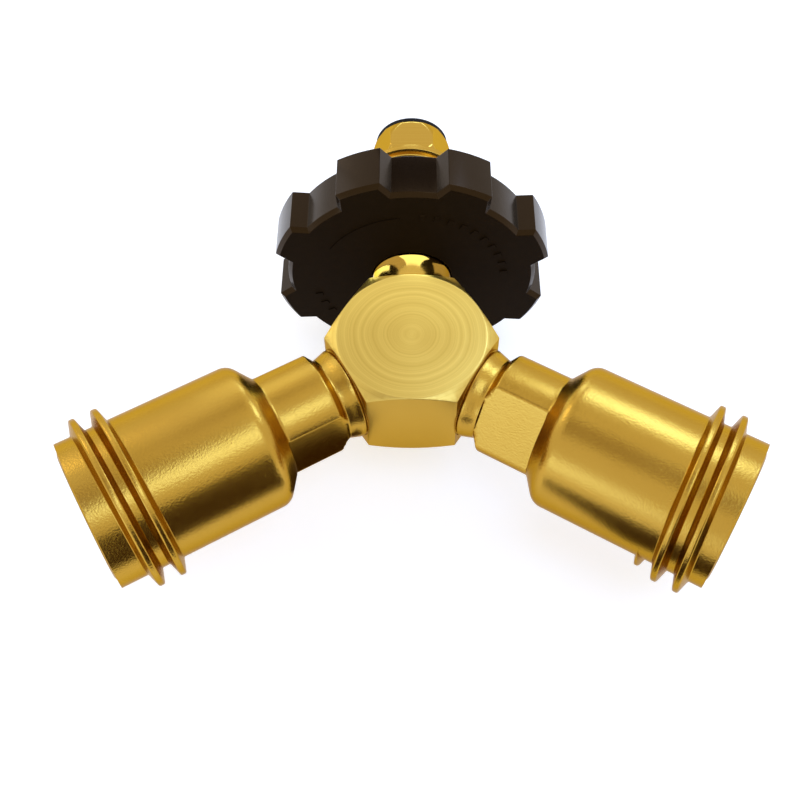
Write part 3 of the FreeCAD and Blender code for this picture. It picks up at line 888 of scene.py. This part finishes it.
# %% Marks on the wheel
def mark(name, inner, outer, first, last, proud=0.22, sunk=0.2):
    """Raised bar on the wheel's near face between two radii and two angles from +X towards +Z."""
    steps = max(2, math.ceil(abs(last - first) / 3) + 1)
    slope = min(0.15, (outer - inner) * 0.3)
    section = ((inner, sunk), (inner + slope, -proud), (outer - slope, -proud), (outer, sunk))
    points = [(-r * math.sin(a), -r * math.cos(a), wheel_near + depth)
              for a in np.radians(np.linspace(first, last, steps)) for r, depth in section]
    faces = [(4 * k + i, 4 * k + (i + 1) % 4, 4 * k + 4 + (i + 1) % 4, 4 * k + 4 + i)
             for k in range(steps - 1) for i in range(4)]
    faces += [(0, 1, 2, 3), tuple(4 * (steps - 1) + i for i in range(4))]
    return mesh_object(name, lay(points, inlet_heading), faces)


tick_width, tick_step = 3.0, 8.6
upper_ticks, lower_ticks = np.arange(5.0, 84.0, tick_step), (-166.0, -157.4, -148.8)
print("ticks on the wheel:", len(upper_ticks) + len(lower_ticks))

# %% [markdown]
# The wheel itself is a copy of its CAD piece with every edge rounded by 0.3 mm. A Weighted Normal
# modifier keeps its large faces flat to the eye. The near face gets the matt material.

# %% The handwheel
def handwheel():
    """Moulded wheel with plain raised marks on its near face: an arc and ticks."""
    marks = [mark("wheel_arc", 18.3, 18.7, 97.0, 150.0)]
    marks += [mark("wheel_tick", 17.8, 19.5, angle, angle + tick_width) for angle in upper_ticks]
    marks += [mark("wheel_tick", 18.9, 20.6, angle, angle + tick_width) for angle in lower_ticks]
    wheel = joined("handwheel_finished", [finished_copy("handwheel", 0.3)] + marks)
    weighted = wheel.modifiers.new("flat faces", "WEIGHTED_NORMAL")
    weighted.keep_sharp = True
    return settle(wheel)


wheel = finish_piece(handwheel(), "handwheel", plastic)
wheel.data.materials.append(face_plastic)
for polygon in wheel.data.polygons:
    if polygon.normal.y < -0.95 and polygon.center.y < (wheel_near + 0.4) * MM:
        polygon.material_index = 1
print("textured faces on the wheel:", sum(p.material_index for p in wheel.data.polygons))

# %% [markdown]
# ## The valves inside
# Each outlet holds a spring-loaded check valve behind a screwed seat, and the nose holds an
# excess-flow valve. A spring is round wire wound by the same tree, a few coils of thin wire. In
# the real valve one end stays on its seat and the other follows its poppet; here the spring is
# wound at its length at rest and rides on no body.

# %% Springs
def spring(node, poppet, start, end, radius, wire, turns, heading):
    """Compression spring of round wire, wound at rest from its seat towards its poppet."""
    around = np.linspace(0, 2 * math.pi, 17)[:-1]
    ring = [(wire / 2 * math.sin(a), wire / 2 * math.cos(a)) for a in around]
    pitch = (end - start - wire) / turns
    made = wind(node + "_finished", ring, turns, pitch, radius, start + wire / 2, 0.0, heading,
                steel, steps=48)
    seat, moving_end = (lay([(0, 0, station)], heading)[0] for station in (start, end))
    return finish_piece(made, node, steel, (body_of[poppet], seat, moving_end))


check_spring_seat, check_spring_top = chamber_floor + 1.85, chamber_floor + 8.2
flow_spring_seat, flow_spring_top = shank_end - 1.95, shank_end + 2.05
print("a check spring is", round(check_spring_top - check_spring_seat, 2), "mm long at rest")

# %% [markdown]
# The small turned pieces are copies of their CAD pieces with broken edges. Each entry gives a
# piece's name, how far its edges are broken in mm, its material and its slot.

# %% Valve pieces
finish_piece(finished_copy("thrust_washer", 0.08), "thrust_washer", nylon)
finish_piece(finished_copy("flow_poppet", 0.08), "flow_poppet", machined)
check_valve_pieces = (
    ("check_seat_", 0.12, machined, "machined_brass"),
    ("check_poppet_", 0.15, machined, "machined_brass"),
    ("poppet_guide_", 0.08, machined, "machined_brass"),
    ("check_seal_", 0.08, rubber, "black_rubber"),
    ("seat_o_ring_", 0.2, rubber, "black_rubber"))
for side, heading in sides:
    for node, edge, material, slot in check_valve_pieces:
        finish_piece(finished_copy(node + side, edge), node + side, material)
    spring("check_spring_" + side, "check_poppet_" + side, check_spring_seat, check_spring_top,
           radius=4.2, wire=0.6, turns=3.0, heading=heading)
spring("flow_spring", "flow_poppet", flow_spring_seat, flow_spring_top,
       radius=2.95, wire=0.4, turns=2.75, heading=inlet_heading)

# %% [markdown]
# ## The table
# A backlit table of pale acrylic carries the piece and takes its soft shadow. A little emission
# keeps it white to the edge of the picture.

# %% The table
def floor(level):
    """Pale table that glows a little, wide enough to fill the picture."""
    half = 3.0
    corners = [(x, y, level) for x, y in ((-half, -half), (half, -half), (half, half), (-half, half))]
    mesh = bpy.data.meshes.new("floor")
    mesh.from_pydata(corners, [], [(0, 1, 2, 3)])
    obj = bpy.data.objects.new("floor", mesh)
    bpy.context.scene.collection.objects.link(obj)
    material = new_material("pale_acrylic", {
        "Base Color": (0.80, 0.80, 0.80, 1), "Roughness": 0.6, "Emission Color": (1, 1, 1, 1),
        "Emission Strength": 0.42, "Specular IOR Level": 0.0})[0]
    mesh.materials.append(material)
    return obj


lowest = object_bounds()[0][2]
floor(lowest)
print("the table is at", round(lowest / MM, 2), "mm")

# %% [markdown]
# ## Lamps
# Large soft lights stand where the photo's highlights come from, each given by its direction
# from the piece. Brass takes the blue out of what it reflects, so lamps that are bluish and
# short of red keep its highlights lemon instead of orange. One lamp stands close, for the
# narrow bright band on the right outlet.

# %% Lamps
target = Vector((0.0, -0.01, mid_height * MM))
studio_radius = 0.60
cool, warm = (0.63, 1.0, 1.95), (1.0, 0.93, 0.80)


def direction(azimuth, elevation):
    """Unit vector towards a place on the studio's sphere."""
    a, e = math.radians(azimuth), math.radians(elevation)
    return Vector((math.cos(e) * math.cos(a), math.cos(e) * math.sin(a), math.sin(e)))


def softbox(name, centre, width, height, radiance, colour):
    """Area light of a stated radiance that faces the piece."""
    data = bpy.data.lights.new(name, "AREA")
    data.color = colour
    data.shape = "RECTANGLE"
    data.size = width
    data.size_y = height
    data.energy = radiance * math.pi * width * height
    obj = bpy.data.objects.new(name, data)
    obj.location = centre
    obj.rotation_euler = (target - obj.location).to_track_quat("-Z", "Y").to_euler()
    bpy.context.scene.collection.objects.link(obj)
    return obj


softbox("right_near_box", Vector((0.085, 0.078, 0.136)), 0.065, 0.060, 3.4, cool)
for name, azimuth, elevation, width, height, radiance, colour in (
        ("front_right_box", -54.0, 64.0, 0.26, 0.25, 2.0, cool),
        ("front_left_box", -130.0, 13.0, 0.28, 0.20, 1.30, cool),
        ("back_box", 90.0, 27.0, 0.20, 0.12, 3.0, cool),
        ("back_left_box", 140.0, 31.0, 0.14, 0.32, 2.3, warm)):
    place = target + direction(azimuth, elevation) * studio_radius
    softbox(name, place, width, height, radiance, colour)

# %% [markdown]
# ## Cards
# Polished metal is mostly a picture of the room, so product photographers hang boards around it.
# A dark board draws a dark band along a cylinder and shows its roundness, and a light one lifts
# an edge. The camera sees these boards only in reflections, and they cast no shadow. A board
# just in front of the wheel is one-sided, so that the wheel doesn't mirror its back.

# %% Boards
def card(name, corners, level, one_sided=False):
    """Board of a stated brightness, seen only in reflections; a darker one is also warmer."""
    mesh = bpy.data.meshes.new(name)
    mesh.from_pydata([tuple(corner) for corner in corners], [], [tuple(range(len(corners)))])
    obj = bpy.data.objects.new(name, mesh)
    bpy.context.scene.collection.objects.link(obj)
    material = bpy.data.materials.new(name)
    material.use_nodes = True
    tree = material.node_tree
    tree.nodes.clear()
    tone = (level, level ** 1.22, level ** 1.5, 1)
    glow = add(tree, "ShaderNodeEmission", {"Color": tone, "Strength": 1.0})
    surface = glow.outputs[0]
    if one_sided:
        behind = add(tree, "ShaderNodeNewGeometry").outputs["Backfacing"]
        clear = add(tree, "ShaderNodeBsdfTransparent")
        mixed = add(tree, "ShaderNodeMixShader", {0: behind, 1: surface, 2: clear.outputs[0]})
        surface = mixed.outputs[0]
    add(tree, "ShaderNodeOutputMaterial", {"Surface": surface})
    mesh.materials.append(material)
    obj.visible_camera = False
    obj.visible_diffuse = False
    obj.visible_shadow = False
    return obj


def hung(azimuth, elevation, distance, width, height):
    """Corners of a board hung at a place on the studio's sphere, square to the piece."""
    towards = direction(azimuth, elevation)
    across = Vector((-towards.y, towards.x, 0.0)).normalized() * width / 2
    up = towards.cross(across).normalized() * height / 2
    centre = target + towards * distance
    return [centre - across - up, centre + across - up, centre + across + up, centre - across + up]


def laid_out(places, height):
    """Corners of a level board, from places in mm and a height in mm."""
    return [Vector((x, y, height)) * MM for x, y in places]


def standing(start, end, foot, top):
    """Corners of an upright board between two places in mm."""
    return [Vector((*place, height)) * MM
            for place, height in ((start, foot), (end, foot), (end, top), (start, top))]


print("boards ready")

# %% [markdown]
# Two dark boards in front of the right outlet, one upright and one on the table, give the dark
# bands under both bodies. A third, under the left neck, is painted shade: it stands for the
# table's shadow there, as the neck mirrors it. The small ones near the wheel light the collar and
# the rear of the block's top, which would otherwise mirror the black wheel, and darken the notch
# of the wheel that faces up.

# %% Hanging the boards
dark = 0.05
table = lowest / MM + 0.4
front_left, front_right = (10, -213), (110, -146)
neck_corners = [(-10.5, -14.7), (-23, -22), (-16.5, -28.5), (-8.2, -22), (-8.2, -16)]
card("standing_card", standing(front_left, front_right, table, 104.0), dark)
card("dark_strip", laid_out([(-55, -97), (28, -49), front_right, front_left], table), dark)
# Painted shade: a dark board for the shadowed table under the left neck, seen in the neck's
# reflection.
card("neck_card", laid_out(neck_corners, 1.0), dark)
wheel_front = wheel_near - 0.25
for name, first, last, depth, foot, top, level in (
        ("wheel_card", -16.0, 16.0, wheel_front, 22.5, 38.0, 1.15),
        ("collar_card", -2.6, 4.2, wheel_front, 16.5, 22.5, 2.6),
        ("collar_left_card", -10.0, -7.6, wheel_front, 8.0, 17.0, 2.6),
        ("collar_right_card", 6.5, 11.0, wheel_front, 8.0, 17.0, 0.7),
        ("collar_back_card", -7.6, -2.6, wheel_near - 0.1, 8.0, 22.5, 0.8),
        ("notch_card", -9.0, 9.0, 35.0, 38.5, 49.0, 0.12)):
    card(name, standing((first, depth), (last, depth), foot, top), level, one_sided=True)
card("neck_light", hung(133.0, 34.0, 0.071, 0.030, 0.030), 1.4)
card("high_card", hung(-125.0, 74.0, 0.55, 0.36, 0.26), 0.50)
card("back_card", hung(104.0, 68.0, 0.62, 0.16, 0.16), 0.62)

# %% [markdown]
# ## The room
# A white room fills in from every side. Its light on the piece is a little weaker than what the
# camera sees of it, so the background stays white while the shadows keep their depth.

# %% The room
world = bpy.data.worlds.new("studio")
bpy.context.scene.world = world
world.use_nodes = True
sky = world.node_tree
seen = add(sky, "ShaderNodeLightPath").outputs
shown = add(sky, "ShaderNodeMath", {
    0: seen["Is Camera Ray"], 1: seen["Is Glossy Ray"]}, operation="MAXIMUM")
light_on_piece, light_seen = 0.9, 1.0
brightness = add(sky, "ShaderNodeMapRange", {
    "Value": shown.outputs[0], "To Min": light_on_piece, "To Max": light_seen})
sky.nodes["Background"].inputs["Color"].default_value = (1, 1, 1, 1)
sky.links.new(brightness.outputs[0], sky.nodes["Background"].inputs["Strength"])
print("strength of the room on the piece and as seen:", light_on_piece, light_seen)

# %% [markdown]
# ## The camera
# The camera stands in front and looks down by 56 degrees. Its distance, lens and shift were
# solved from the outlines in the photo.

# %% The camera
def camera(distance, elevation, lens, shift):
    """Camera in front of the piece that looks at the block's centre."""
    data = bpy.data.cameras.new("camera")
    data.lens = lens
    data.sensor_width = 36.0
    data.shift_x, data.shift_y = shift
    data.clip_start, data.clip_end = 0.01, 20.0
    obj = bpy.data.objects.new("camera", data)
    tilt = math.radians(elevation)
    height = mid_height + distance * math.sin(tilt)
    obj.location = (0.0, -distance * math.cos(tilt) * MM, height * MM)
    obj.rotation_euler = (math.radians(90) - tilt, 0.0, 0.0)
    bpy.context.scene.collection.objects.link(obj)
    return obj


bpy.context.scene.camera = camera(
    distance=218.945, elevation=56.13, lens=50.92, shift=(-0.0146, -0.0488))
bpy.context.scene.view_settings.view_transform = "Standard"
print("camera at", tuple(round(c, 4) for c in bpy.context.scene.camera.location))
